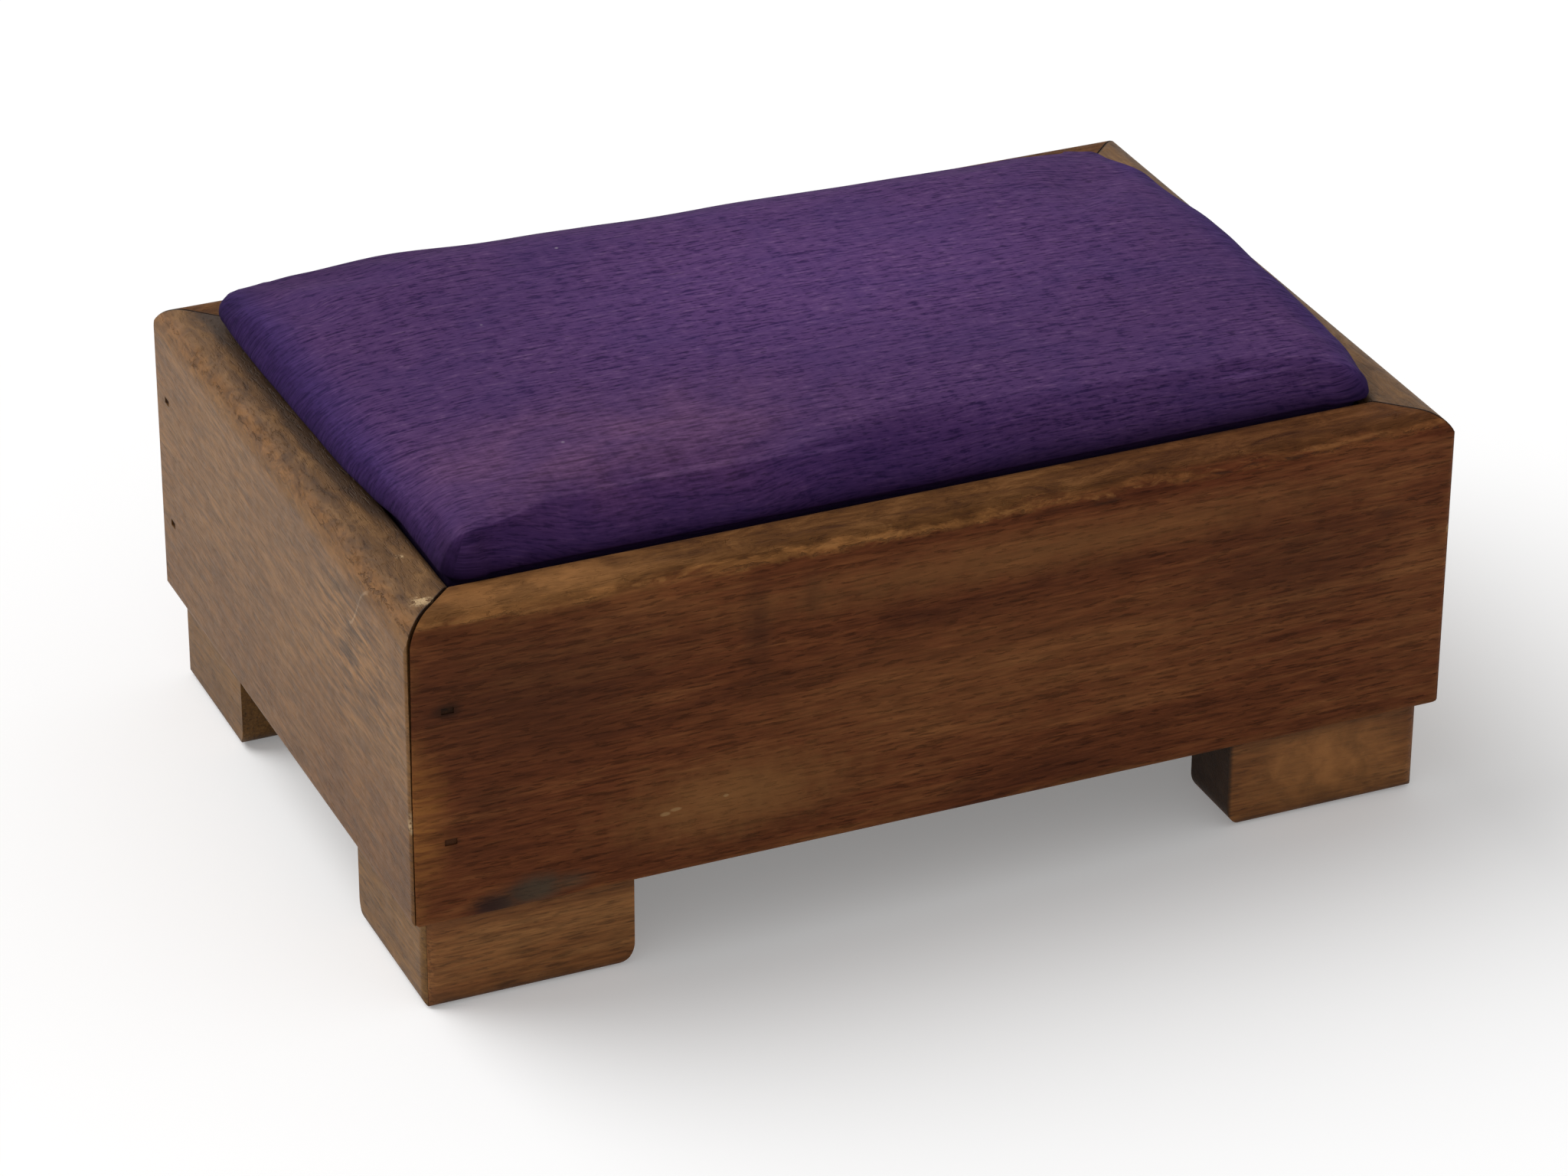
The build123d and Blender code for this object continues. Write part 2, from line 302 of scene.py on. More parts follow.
def board_wood(name, axis, seed, tones, top_tones, worn, specular, rough, lean=0.0, marks=None):
    """A stained board: grain, a mottled top, a worn line on its rounded edge, nails and marks."""
    g = Graph(name)
    colour, relief, streaks = wood_figure(g, axis, seed, tones, lean)
    half, place = (half_depth, g.y) if axis == "X" else (half_length, g.x)
    inset = g.minus(half, g.size(place))
    ragged = g.noise(along_grain(axis, 32, 110), 5, 0.72, 0.6, (seed * 1.7, 0.3, 2.2))
    edge = g.stirred(from_edge(g, inset), ragged, 0.020)
    on_top = g.band(edge, -0.0025, 0.0045)
    mottle = g.noise(along_grain(axis, 55, 140), 5, 0.70, 0.8, (seed, 2.0, 5.0))
    level = g.plus(g.times(mottle, 0.75), g.times(streaks, 0.25))
    top_colour = g.ramp(level, (0.36, top_tones[0]), (0.50, top_tones[1]), (0.64, top_tones[2]))
    colour = g.mix(g.times(on_top, 0.9), colour, top_colour)
    # The worn line and the cracks in it
    patches = g.noise(along_grain(axis, 26, 70), 5, 0.70, 0.7, (seed * 2.1, 0.4, 1.3))
    line = g.times(g.band(g.size(edge), 0.0042, 0.0006), g.band(patches, 0.40, 0.58))
    wear = g.most(line, lower_wear(g, axis, seed))
    worn_colour = g.shade(worn, g.band(mottle, 0.34, 0.66, 0.55, 1.35))
    colour = g.mix(g.times(wear, 0.60), colour, worn_colour)
    crack = g.band(g.size(g.plus(edge, 0.0016)), 0.0008, 0.0002)
    crack = g.times(crack, g.band(patches, 0.50, 0.56), g.band(mottle, 0.46, 0.54))
    colour = g.mix(g.times(crack, 0.42), colour, grime_and_shade)
    # Dirt in the mitres and round the nails, and painted shade beside the seat
    mitre = g.minus(g.size(g.x), g.size(g.y))
    mitre = g.size(g.minus(mitre, half_length - half_depth))
    joint = g.times(g.band(mitre, 0.0010, 0.0004), g.band(g.z, rail_top - 0.006, rail_top - 0.001))
    colour = g.mix(g.times(joint, 0.85), colour, grime_and_shade)
    # Painted shade on the top of the board, next to the seat
    from_seat = g.minus(rail_thickness, inset)
    colour = g.mix(g.times(on_top, g.band(from_seat, 0.0050, 0.0010), 0.5), colour, grime_and_shade)
    colour = g.mix(g.times(nail_stains(g), 0.85), colour, iron_black)
    if marks:
        colour = marks(g, colour)
    scuffs = g.noise((240, 240, 240), 4, 0.7, 0.3, (seed, 4.0, 1.0))
    roughness = g.stirred(rough, scuffs, 0.28)
    roughness = g.plus(roughness, g.times(wear, 0.10), g.times(on_top, 0.12))
    dents = g.times(g.band(scuffs, 0.60, 0.74), g.most(wear, g.times(on_top, 0.6)))
    height = g.plus(relief, g.times(dents, -1.8), g.times(crack, -2.5))
    height = g.stirred(height, mottle, g.times(on_top, 1.6))
    return g.finish(colour, roughness, g.bump(height, 0.0005, 0.7), specular)


def front_spots(g, *rows):
    """Soft spots on the front face, from rows of x, z, radius in x, radius in z, wobble, weight."""
    masks = []
    for x, z, radius_x, radius_z, wobble, weight in rows:
        spot = g.spot((x, -half_depth, z), (radius_x, 0.03, radius_z), 1.0, wobble)
        masks.append(g.times(spot, weight))
    return g.most(*masks)


def front_marks(g, colour):
    """Marks on the front board: its stain's shading, a smudge, a broken line of wear and painted
    highlight, and flecks.
    """
    y = -half_depth
    dark = front_spots(
        g,
        (-0.135, 0.108, 0.075, 0.040, 0.5, 0.55),
        (0.120, 0.095, 0.060, 0.034, 0.6, 0.45),
        (-0.063, 0.112, 0.007, 0.028, 0.9, 0.55),
        (-0.063, 0.055, 0.006, 0.012, 0.9, 0.45),
        (-0.045, 0.120, 0.006, 0.014, 0.9, 0.55),
        (0.152, 0.106, 0.009, 0.005, 0.8, 0.65),
        (-0.148, 0.073, 0.020, 0.012, 0.8, 0.35),
        (0.006, 0.040, 0.012, 0.005, 0.8, 0.4),
    )
    colour = g.mix(dark, colour, (0.050, 0.018, 0.009))
    golden = front_spots(
        g,
        (-0.070, 0.055, 0.060, 0.020, 0.7, 0.75),
        (0.160, 0.075, 0.018, 0.050, 0.7, 0.10),
        (0.030, 0.118, 0.160, 0.012, 0.7, 0.45),
        (0.010, 0.080, 0.120, 0.030, 0.7, 0.20),
    )
    colour = g.mix(golden, colour, (0.245, 0.108, 0.036))
    # Striped gold at the left end and over the left of the rounded edge
    stripes = g.band(g.noise((50, 50, 420), 3, 0.6, 0.4, (2.0, 0.0, 1.0)), 0.42, 0.60)
    end_gold = g.spot((-0.1735, y, 0.068), (0.015, 0.03, 0.038), 1.0, 0.5)
    end_gold = g.times(end_gold, g.band(stripes, 0.0, 1.0, 0.45, 1.0))
    colour = g.mix(g.times(end_gold, 0.85), colour, (0.300, 0.118, 0.030))
    bright = g.spot((-0.135, y + 0.010, rail_top), (0.070, 0.016, 0.010), 1.0, 0.5)
    edge_gold = g.shade((0.288, 0.130, 0.043), g.band(stripes, 0.0, 1.0, 0.75, 1.2))
    colour = g.mix(g.times(bright, 0.6), colour, edge_gold)
    # A smudge, nearly black at its left and grey-green at its right
    smudge = g.most(
        g.spot((-0.1480, y, 0.0352), (0.013, 0.03, 0.0066), 0.8, 0.5),
        g.spot((-0.1370, y, 0.0375), (0.016, 0.03, 0.0078), 0.8, 0.5),
        g.times(g.spot((-0.1250, y, 0.0380), (0.011, 0.03, 0.0046), 1.0, 0.5), 0.7),
    )
    tone = g.mix(g.band(g.x, -0.152, -0.134), (0.018, 0.012, 0.012), (0.062, 0.050, 0.034))
    colour = g.mix(g.times(smudge, 0.85), colour, tone)
    # A broken line along the rounded edge, partly worn wood and partly a painted highlight, with a
    # crack under its right part
    across = from_edge(g, g.plus(g.y, half_depth))
    across = g.stirred(across, g.noise((30, 90, 90), 4, 0.6, 0.3, (5.0, 1.0, 0.0)), 0.010)
    broken = g.band(g.noise((80, 160, 160), 4, 0.7, 0.5, (1.0, 6.0, 2.0)), 0.48, 0.60)
    lit = g.times(g.band(g.size(across), 0.0018, 0.0004), broken)
    lit = g.times(lit, g.band(g.x, -0.150, 0.070, 0.75, 1.0))
    colour = g.mix(g.times(lit, 0.55), colour, (0.345, 0.158, 0.052))
    far = g.times(g.band(g.x, 0.020, 0.090), g.band(g.z, rail_top - 0.016, rail_top - 0.006))
    colour = g.mix(far, colour, (0.84, 0.76, 0.80), "MULTIPLY")
    crack = g.times(g.band(g.size(g.plus(across, 0.0026)), 0.0012, 0.0003), broken)
    crack = g.times(crack, g.band(g.x, 0.020, 0.070))
    colour = g.mix(g.times(crack, 0.55), colour, grime_and_shade)
    fleck = g.most(
        g.spot((-0.0935, y, 0.0540), (0.0022, 0.02, 0.0009), 0.5, 0.6),
        g.spot((-0.0900, y, 0.0549), (0.0024, 0.02, 0.0008), 0.5, 0.6),
        g.spot((-0.0735, y, 0.0560), (0.0012, 0.02, 0.0007), 0.5, 0.6),
        g.spot((0.174, y, 0.096), (0.0010, 0.01, 0.0018), 0.5, 0.6),
    )
    return g.mix(g.times(fleck, 0.75), colour, (0.340, 0.195, 0.085))


def chipped(g, colour, chip, weight):
    """The colour, with raw wood in the crumbled outline of a chip."""
    crumbs = g.band(g.noise((520, 520, 520), 4, 0.7, 0.5), 0.44, 0.56)
    return g.mix(g.times(chip, crumbs, weight), colour, raw_wood)


def left_marks(g, colour):
    """Marks on the left board: spots, a scratch, old finish, a worn edge, shade and chips."""
    x = -half_length
    spots = g.most(
        g.spot((x, 0.0257, 0.1244), (0.02, 0.0036, 0.0022), 0.8, 0.8),
        g.times(g.spot((x, -0.030, 0.118), (0.02, 0.060, 0.014), 1.0, 0.8), 0.30),
        g.times(g.spot((x, -0.112, 0.050), (0.02, 0.007, 0.022), 1.0, 0.9), 0.45),
        g.times(g.spot((x, -0.023, 0.109), (0.02, 0.006, 0.006), 1.0, 0.9), 0.40),
        g.times(g.spot((x, -0.052, 0.095), (0.02, 0.003, 0.014), 1.0, 0.9), 0.40),
    )
    colour = g.mix(g.times(spots, 0.85), colour, (0.055, 0.028, 0.015))
    # A curved pale scratch
    path = g.plus(0.113, g.times(g.band(g.y, -0.069, -0.0848), 0.0172))
    near = g.size(g.minus(g.z, path))
    inside = g.times(g.band(g.y, -0.0855, -0.0840), g.band(g.y, -0.0685, -0.0700))
    inside = g.times(inside, g.band(g.x, x + 0.02, x + 0.01))
    scratch = g.times(g.band(near, 0.0009, 0.0003), inside)
    colour = g.mix(g.times(scratch, 0.55), colour, (0.420, 0.310, 0.210))
    # Blotchy old finish over the face, brushed with fine scratches and browner low down
    blotches = g.noise((34, 30, 38), 5, 0.62, 0.7, (3.0, 1.0, 2.0))
    old_finish = g.ramp(
        blotches,
        (0.32, (0.124, 0.058, 0.017)),
        (0.50, (0.170, 0.083, 0.026)),
        (0.66, (0.214, 0.111, 0.038)),
    )
    old_finish = g.shade(old_finish, g.band(g.z, rail_bottom, rail_bottom + 0.060, 0.74, 1.0))
    on_face = g.band(g.x, x + 0.0030, x + 0.0004)
    colour = g.mix(g.times(on_face, 0.45), colour, old_finish)
    brushed = g.noise((200, 50, 460), 5, 0.70, 0.4, (1.0, 3.0, 2.0), (-0.30, 0, 0))
    scratched = g.spot((x, -0.070, 0.104), (0.03, 0.055, 0.034), 1.0, 0.5)
    depth = g.plus(0.20, g.times(scratched, 0.42))
    streak = g.band(brushed, 0.36, 0.64, -1.0, 1.0)
    colour = g.shade(colour, g.plus(1.0, g.times(on_face, depth, streak)))
    colour = g.mix(on_face, colour, (1.0, 0.97, 0.90), "MULTIPLY")
    low = g.times(on_face, g.band(g.z, rail_bottom + 0.060, rail_bottom + 0.016))
    low = g.times(low, g.band(g.y, 0.020, -0.080, 0.45, 1.0))
    colour = g.mix(low, colour, (0.80, 0.69, 0.46), "MULTIPLY")
    # Patchy wear along the rounded edge
    across = from_edge(g, g.plus(g.x, half_length))
    across = g.stirred(across, g.noise((90, 26, 90), 4, 0.65, 0.5, (7.0, 2.0, 1.0)), 0.014)
    rounded = g.band(g.size(across), 0.0065, 0.0010)
    rubbed = g.band(g.noise((130, 70, 130), 5, 0.70, 0.6, (2.0, 5.0, 3.0)), 0.46, 0.60)
    colour = g.mix(g.times(rounded, rubbed, 0.55), colour, (0.272, 0.134, 0.048))
    soiled = g.band(g.noise((150, 80, 150), 5, 0.70, 0.6, (6.0, 1.0, 8.0)), 0.50, 0.62)
    colour = g.mix(g.times(rounded, soiled, 0.50), colour, (0.064, 0.030, 0.011))
    colour = g.mix(rounded, colour, (0.92, 0.86, 0.76), "MULTIPLY")
    # Shade beside the seat where it overhangs the top
    overhang = g.band(g.y, -0.066, -0.022, 0.0016, 0.0085)
    beside = g.minus(g.minus(g.size(g.x), edge_x), overhang)
    shadow = g.times(
        g.band(beside, 0.0052, 0.0008),
        g.band(g.z, rail_top - 0.004, rail_top - 0.001),
        g.band(g.y, -0.085, -0.050),
    )
    colour = g.mix(g.times(shadow, 0.80), colour, (0.026, 0.013, 0.007))
    chip = g.most(
        g.spot((x, -half_depth, 0.069), (0.0034, 0.0034, 0.0050), 0.7, 0.9),
        g.spot((-0.1645, -0.1045, rail_top), (0.0052, 0.0036, 0.0040), 0.8, 0.9),
        g.times(g.spot((-0.1605, -0.0761, rail_top), (0.0024, 0.0022, 0.0030), 0.8, 0.9), 0.8),
    )
    return chipped(g, colour, chip, 0.85)


def right_marks(g, colour):
    """A pale chip on the right board's rounded edge."""
    place = (0.1735, -0.0930, rail_top - 0.0030)
    return chipped(g, colour, g.spot(place, (0.0024, 0.0046, 0.0026), 0.9, 0.9), 0.70)


def plain_wood(name, axis, seed, tones, specular, rough, marks=None):
    """Wood of the feet and of the hidden pieces: bare grain, with marks where given."""
    g = Graph(name)
    colour, relief, _ = wood_figure(g, axis, seed, tones)
    if marks:
        colour = marks(g, colour)
    scuffs = g.noise((200, 200, 200), 4, 0.7, 0.3, (seed, 4.0, 1.0))
    roughness = g.stirred(rough, scuffs, 0.25)
    return g.finish(colour, roughness, g.bump(relief, 0.0004, 0.5), specular)


def foot_marks(g, colour):
    """Soil at the sole, painted shade against the board, a paler front right foot with painted
    shade on its inner end.
    """
    ragged = g.noise((90, 90, 90), 4, 0.6, 0.4)
    pale = g.spot((0.138, -half_depth + 0.0055, 0.017), (0.036, 0.006, 0.020), 0.7, 0.5)
    pale_colour = g.shade((0.285, 0.120, 0.037), g.band(ragged, 0.3, 0.7, 0.7, 1.3))
    colour = g.mix(g.times(pale, 0.85), colour, pale_colour)
    soil = g.times(g.band(g.plus(g.z, g.times(ragged, 0.010)), 0.011, 0.004), 0.6)
    colour = g.mix(soil, colour, (0.040, 0.020, 0.011))
    # Painted shade where the foot meets the board
    under = g.times(g.band(g.z, rail_bottom - 0.006, rail_bottom), 0.35)
    colour = g.mix(under, colour, (0.045, 0.020, 0.010))
    # Painted shade on the foot's inner end, which lies in the board's shadow
    end = g.times(g.band(g.x, 0.1038, 0.1022), g.band(g.x, 0.100, 0.1018), g.band(g.y, 0.0, -0.05))
    return g.mix(g.times(end, 0.85), colour, (0.020, 0.013, 0.008))


def seat_weave():
    """Purple weave: fine dashes along the length, pinker where rubbed, bluer at the ends, with
    painted shade on its slopes, low sides, near corner, back edge and gap.
    """
    g = Graph("seat_weave")
    flat = g.add("ShaderNodeUVMap", uv_map="cloth").outputs[0]
    flat = g.mapped((1, 1, 1), turn=(0, 0, 0.035), vector=flat)
    dashes = g.noise((170, 900, 1), 2, 0.5, 0.1, (4.0, 1.0, 0.0), vector=flat)
    pits = g.noise((180, 1000, 1), 2, 0.5, 0.1, (1.0, 9.0, 0.0), vector=flat)
    fine = g.noise((480, 1500, 1), 2, 0.55, 0.1, (1.0, 7.0, 0.0), vector=flat)
    ribs = g.noise((24, 420, 1), 4, 0.62, 0.1, (8.0, 3.0, 0.0), vector=flat)
    warp = g.noise((620, 60, 1), 2, 0.5, 0.2, (5.0, 2.0, 0.0), vector=flat)
    tint = g.noise((26, 34, 1), 4, 0.6, 0.6, (2.0, 6.0, 0.0), vector=flat)
    level = g.plus(g.times(dashes, 0.62), g.times(ribs, 0.44), g.times(fine, 0.30))
    level = g.plus(level, g.times(warp, 0.14), -0.255)
    threads = g.band(level, 0.36, 0.64, 0.75, 1.25)
    # Bluish in the hollows, pinker and paler on the threads
    colour = g.ramp(
        level,
        (0.36, (0.034, 0.015, 0.070)),
        (0.45, (0.082, 0.037, 0.128)),
        (0.58, (0.100, 0.047, 0.146)),
        (0.68, (0.142, 0.075, 0.182)),
    )
    colour = g.mix(g.times(g.band(pits, 0.58, 0.66), 0.70), colour, (0.024, 0.011, 0.050))
    colour = g.mix(g.band(tint, 0.40, 0.70, 0.0, 0.30), colour, (0.052, 0.029, 0.116))
    rubbed = g.spot((-0.090, -0.062, 0.148), (0.105, 0.046, 0.05), 0.9, 0.3)
    rubbed = g.times(rubbed, g.band(tint, 0.64, 0.36, 0.5, 1.0))
    pink = g.shade((0.142, 0.066, 0.148), g.band(level, 0.36, 0.64, 0.7, 1.3))
    colour = g.mix(g.times(rubbed, 0.80), colour, pink)
    middle = g.spot((0.02, 0.02, 0.150), (0.150, 0.085, 0.05), 1.0, 0.4)
    colour = g.shade(colour, g.plus(0.83, g.times(middle, 0.28)))
    ends = g.band(g.size(g.x), 0.143, 0.158)
    colour = g.mix(g.times(ends, 0.70), colour, g.shade((0.036, 0.020, 0.100), threads))
    # Painted shade at the near corner, low on the sides, on the front, left and back slopes, along
    # the back edge and in the gap
    near_corner_shade = g.spot((-edge_x, -edge_y, rail_top + 0.006), (0.022, 0.022, 0.016), 1.0, 0.4)
    colour = g.mix(g.times(near_corner_shade, 0.65), colour, g.shade((0.040, 0.019, 0.056), threads))
    # Painted shade low on the sides, next to the boards
    low = g.band(g.z, rail_top + 0.0090, rail_top + 0.0005)
    colour = g.mix(g.times(low, 0.58), colour, (0.013, 0.006, 0.030))
    # Painted shade on the slopes, by the way they face: the front, the left and the back
    facing = g.add("ShaderNodeSeparateXYZ")
    g.feed(facing.inputs[0], g.add("ShaderNodeTexCoord").outputs["Normal"])
    front_slope_shade = g.band(facing.outputs["Y"], -0.22, -0.36)
    front_slope_shade = g.times(front_slope_shade, g.band(g.x, -0.02, 0.08, 1.0, 0.50))
    colour = g.mix(front_slope_shade, colour, (0.58, 0.49, 0.66), "MULTIPLY")
    left_slope_shade = g.band(facing.outputs["X"], -0.30, -0.80)
    colour = g.mix(left_slope_shade, colour, (0.58, 0.50, 0.58), "MULTIPLY")
    back_slope_shade = g.band(facing.outputs["Y"], 0.15, 0.55)
    back_edge_shade = g.most(back_slope_shade, g.times(g.band(g.y, 0.070, 0.092), 0.7))
    back_shade = g.band(g.x, -0.020, 0.040, -0.38, -0.26)
    colour = g.shade(colour, g.plus(1.0, g.times(back_edge_shade, back_shade)))
    # Painted shade in the gap between the pad and the boards
    gap_shade = g.band(g.z, rail_top + 0.0002, rail_top - 0.0018)
    colour = g.mix(g.times(gap_shade, 0.55), colour, (0.012, 0.007, 0.024))
    # Sparse pale lint
    distance, pick = g.cells((75, 75, 75))
    lint = g.times(g.band(distance, 0.070, 0.035), g.band(pick, 0.80, 0.84))
    colour = g.mix(g.times(lint, 0.55), colour, (0.36, 0.31, 0.38))
    # Relief of the weave, with puckers where it turns down over the ends
    relief = g.plus(dashes, g.times(ribs, 0.7), g.times(warp, 0.3), g.times(pits, -0.5))
    normal = g.bump(relief, 0.0005, 0.6)
    pucker = g.noise((18, 300, 1), 2, 0.5, 0.0, (6.0, 2.0, 0.0), vector=flat)
    pucker = g.times(pucker, g.band(g.size(g.x), 0.148, 0.157))
    normal = g.bump(pucker, 0.0014, 0.5, normal)
    return g.finish(colour, g.band(fine, 0.2, 0.8, 0.84, 0.98), normal, 0.05)


def dark_metal(name, base, rust, specular, least_rough=0.55, marks=None):
    """Old metal, rusted in small patches."""
    g = Graph(name)
    patches = g.noise((900, 900, 900), 4, 0.65, 0.3)
    colour = g.ramp(patches, (0.35, base), (0.65, rust))
    if marks:
        colour = marks(g, colour)
    roughness = g.band(patches, 0.3, 0.7, least_rough, 0.90)
    return g.finish(colour, roughness, g.bump(patches, 0.0002, 0.6), specular)


def filler(g, colour):
    """Old filler over the front's lower nail, close to the wood."""
    on_front = g.band(g.y, 0.005 - half_depth, 0.003 - half_depth)
    faint = g.times(g.band(g.z, 0.085, 0.075), on_front)
    return g.mix(g.times(faint, 0.85), colour, (0.066, 0.025, 0.011))


def plywood():
    """Bare sheet under the stuffing."""
    g = Graph("plywood")
    colour, relief, streaks = wood_figure(g, "X", 5.5, bare_tones)
    roughness = g.band(streaks, 0.3, 0.7, 0.62, 0.80)
    return g.finish(colour, roughness, g.bump(relief, 0.0003, 0.5), 0.3)


def dress(names, material):
    """Gives each named piece one material."""
    for name in names:
        nodes[name].data.materials.clear()
        nodes[name].data.materials.append(material)
        for polygon in nodes[name].data.polygons:
            polygon.material_index = 0


corners = ("front_left", "front_right", "back_right", "back_left")
long_look = (dark_tones, dark_top, worn_gold)
short_look = (pale_tones, pale_top, worn_brown)
boards = {
    "front_rail": board_wood("front_board", "X", 1.0, *long_look, 0.05, 0.60, 0.0, front_marks),
    "back_rail": board_wood("back_board", "X", 2.0, *long_look, 0.10, 0.60),
    "left_rail": board_wood("left_board", "Y", 3.0, *short_look, 0.18, 0.48, -0.12, left_marks),
    "right_rail": board_wood("right_board", "Y", 4.0, *short_look, 0.25, 0.52, 0.0, right_marks),
}
for name, material in boards.items():
    dress([name], material)
long_foot = plain_wood("foot_long", "X", 5.0, foot_tones, 0.15, 0.58, foot_marks)
short_foot = plain_wood("foot_short", "Y", 6.0, short_foot_tones, 0.20, 0.52, foot_marks)
block_wood = plain_wood("block_wood", "Z", 7.0, bare_tones, 0.25, 0.75)
for corner in corners:
    dress([f"foot_{corner}_long"], long_foot)
    dress([f"foot_{corner}_short"], short_foot)
    dress([f"corner_block_{corner}"], block_wood)
long_cleat = plain_wood("long_cleat_wood", "X", 8.0, bare_tones, 0.25, 0.75)
short_cleat = plain_wood("short_cleat_wood", "Y", 9.0, bare_tones, 0.25, 0.75)
dress(["front_cleat", "back_cleat"], long_cleat)
dress(["left_cleat", "right_cleat"], short_cleat)
dress(["seat_board"], plywood())
blued_steel = dark_metal("blued_steel", (0.020, 0.020, 0.024), (0.060, 0.042, 0.032), 0.40)
dress(["mitre_nails"], dark_metal("filled_nail", iron_black, iron_rust, 0.05, 0.60, filler))
dress(["foot_nails", "cleat_nails"], dark_metal("old_iron", iron_black, iron_rust, 0.08))
dress(["cover_tacks"], blued_steel)


# Seat: a stuffed pad whose fabric goes over the board's edge and is turned under it
turn_under = 0.024
under_levels = 5
pad_corner = 0.004
roll_levels = 7
count_x = 64
count_y = 42


def spread(count):
    """Shares from -1 to 1, closer together towards both ends."""
    shares = np.linspace(-1, 1, count + 1)
    even, bunched = 0.72, 0.28
    return even * shares + bunched * np.sin(shares * pi / 2)


def eased(value, *stops):
    """Goes smoothly through the given (place, amount) stops, in millimetres."""
    value *= 1000
    for (here, low), (there, high) in zip(stops, stops[1:]):
        if value <= there:
            share = min(1.0, max(0.0, (value - here) / (there - here)))
            return (low + (high - low) * share * share * (3 - 2 * share)) / 1000
    return stops[-1][1] / 1000


# How far each side stands out over its board, how high its edge stands, how deep that edge is
# rounded and how high over the board it stands out most
stand_out = {
    "front": lambda x: eased(x, (-150, 2.2), (-120, 1.6), (150, 1.6)),
    "right": lambda y: eased(
        y, (-97, 5.5), (-70, 9.0), (-26, 10.5), (16, 11.5), (60, 9.5), (97, 3.5)
    ),
    "back": lambda x: eased(x, (-150, 7.0), (-106, 6.0), (-60, 3.5), (0, 2.0), (150, 1.5)),
    "left": lambda y: eased(
        y, (-97, 2.4), (-62, 2.8), (-40, 6.5), (-15, 8.5), (70, 9.5), (97, 9.0)
    ),
}
edge_height = {
    "front": lambda x: eased(x, (-150, 11.5), (0, 12.0), (150, 12.0)),
    "right": lambda y: eased(y, (-97, 11.5), (10, 14.0), (65, 12.5), (97, 9.5)),
    "back": lambda x: eased(
        x, (-150, 12.0), (-132, 14.0), (-104, 15.8), (-60, 15.0),
        (0, 14.0), (60, 13.0), (118, 12.0), (150, 9.5),
    ),
    "left": lambda y: eased(y, (-97, 11.5), (0, 12.0), (70, 14.5), (97, 12.0)),
}
edge_depth = {
    "front": lambda x: eased(
        x, (-150, 8.0), (-140, 9.0), (-103, 20.0), (-58, 20.0),
        (-20, 14.0), (2, 14.5), (45, 9.0), (150, 8.5),
    ),
    "right": lambda y: 0.0100,
    "back": lambda x: 0.0095,
    "left": lambda y: 0.0100,
}
# Shares of the rounded edge's depth and height: a slope with a ridge at its top along the front,
# and elsewhere a turn that ends a little short of a quarter
slope = (
    (0.0, 0.0), (0.06, 0.17), (0.20, 0.35), (0.42, 0.57), (0.66, 0.79), (0.90, 0.975), (1.0, 1.0),
)
quarter_steps = 6.4
angles = [pi / 2 * step / quarter_steps for step in range(roll_levels)]
turn = [(1 - cos(angle), sin(angle)) for angle in angles]
edge_shape = {"front": slope, "right": turn, "back": turn, "left": turn}
bulge_height = {
    "front": lambda x: 0.0012,
    "right": lambda y: eased(y, (-97, 1.2), (-60, 4.6), (97, 4.6)),
    "back": lambda x: 0.0040,
    "left": lambda y: eased(y, (-97, 1.2), (-40, 4.2), (97, 4.2)),
}
shares_x = spread(count_x)
shares_y = spread(count_y)
# Each side's half length, reach from the middle, shares, direction along it and direction outward
sides = {
    "front": (edge_x, edge_y, shares_x, (1, 0), (0, -1)),
    "right": (edge_y, edge_x, shares_y, (0, 1), (1, 0)),
    "back": (edge_x, edge_y, shares_x, (-1, 0), (0, 1)),
    "left": (edge_y, edge_x, shares_y, (0, -1), (-1, 0)),
}


def side_points(half, reach, shares, corner):
    """One side as (along, across, outward direction), straight with rounded ends."""
    rows = []
    for share in shares:
        along = share * (half - corner * (1 - cos(pi / 4)))
        over = abs(along) - (half - corner)
        if over > 0:
            lean = over / corner
            level = (1 - lean * lean) ** 0.5
            lean *= 1 if along > 0 else -1
            rows.append((along, reach - corner * (1 - level), lean, level))
        else:
            rows.append((along, reach, 0.0, 1.0))
    return rows


def ring(corner, form):
    """Points round the pad, anticlockwise from the front left corner.

    The form gives (outward, height) at a place on a side.
    """
    rows = []
    for side, (half, reach, shares, ahead, outward) in sides.items():
        for along, across, lean, level in side_points(half, reach, shares, corner)[:-1]:
            out, height = form(side, along * sum(ahead))
            forward = along + lean * out
            sideways = across + level * out
            x = forward * ahead[0] + sideways * outward[0]
            y = forward * ahead[1] + sideways * outward[1]
            rows.append((x, y, height))
    return np.array(rows)


def level_ring(inset, height):
    """A level outline, inset from the pad's sides."""
    return ring(pad_corner, lambda side, along: (-inset, height))


def rising_ring(share, rise):
    """Part of the way out and up to the bulge."""
    def form(side, along):
        return share * stand_out[side](along), rail_top + rise * bulge_height[side](along)
    return ring(pad_corner, form)


def roll_ring(step):
    """The rounded edge, from the bulge at step 0 to its top at the last step."""
    unevenness = 0.0007

    def form(side, along):
        inward, upward = edge_shape[side][step]
        low = bulge_height[side](along)
        out = stand_out[side](along) - edge_depth[side](along) * inward
        out += unevenness * (1 - inward) * noise.noise(Vector((along * 70, len(side), 0.5)))
        return out, rail_top + low + (edge_height[side](along) - low) * upward
    return ring(pad_corner + 0.001 * step, form)


